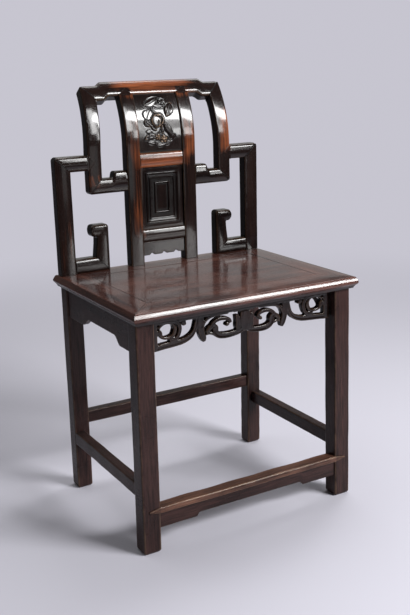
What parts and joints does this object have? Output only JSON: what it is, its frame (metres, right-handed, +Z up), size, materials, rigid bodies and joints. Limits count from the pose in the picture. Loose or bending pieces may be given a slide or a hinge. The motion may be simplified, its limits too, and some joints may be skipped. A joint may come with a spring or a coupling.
{
  "type": "side chair",
  "caption": "Dark hardwood side chair with a stepped fret back, rearward-curling splat, carved fruit panel, openwork scroll apron and low footrest.",
  "frame": {"origin": "on the floor under the middle of the chair's overall width and depth", "axes": "+X to the right of someone who faces the seat's front, +Y towards the back, +Z up"},
  "size_m": [0.524, 0.4358, 0.9065],
  "materials": {
    "dark_hardwood": "aged, dark brown, waxed, worn at the edges",
    "red_hardwood": "aged, reddish brown, polished",
    "seat_hardwood": "aged, reddish brown, polished by use",
    "worn_hardwood": "worn light by feet along the front"
  },
  "bodies": {
    "root": {"arm_tenon_left": "dark_hardwood", "arm_tenon_right": "dark_hardwood", "carved_panel": "red_hardwood", "coffered_panel": "red_hardwood", "crest_rail": "red_hardwood", "curled_arm_left": "dark_hardwood", "curled_arm_right": "dark_hardwood", "foot_rail_left": "dark_hardwood", "foot_rail_right": "dark_hardwood", "footrest": "worn_hardwood", "footrest_apron": "dark_hardwood", "front_apron": "dark_hardwood", "inner_upright_left": "dark_hardwood", "inner_upright_right": "dark_hardwood", "leg_front_left": "dark_hardwood", "leg_front_right": "dark_hardwood", "leg_rear_left": "dark_hardwood", "leg_rear_right": "dark_hardwood", "outer_stile_left": "dark_hardwood", "outer_stile_right": "dark_hardwood", "rear_apron": "dark_hardwood", "rear_stretcher": "dark_hardwood", "seat_batten_left": "dark_hardwood", "seat_batten_right": "dark_hardwood", "seat_front_rail": "seat_hardwood", "seat_panel": "seat_hardwood", "seat_rear_rail": "seat_hardwood", "seat_side_rail_left": "seat_hardwood", "seat_side_rail_right": "seat_hardwood", "shoulder_rail_left": "dark_hardwood", "shoulder_rail_right": "dark_hardwood", "side_apron_left": "dark_hardwood", "side_apron_right": "dark_hardwood", "side_stretcher_left": "dark_hardwood", "side_stretcher_right": "dark_hardwood", "splat_apron": "red_hardwood", "splat_low_rail": "red_hardwood", "splat_mid_rail": "red_hardwood", "splat_stile_left": "red_hardwood", "splat_stile_right": "red_hardwood", "upper_stile_left": "dark_hardwood", "upper_stile_right": "dark_hardwood"}
  },
  "joints": []
}
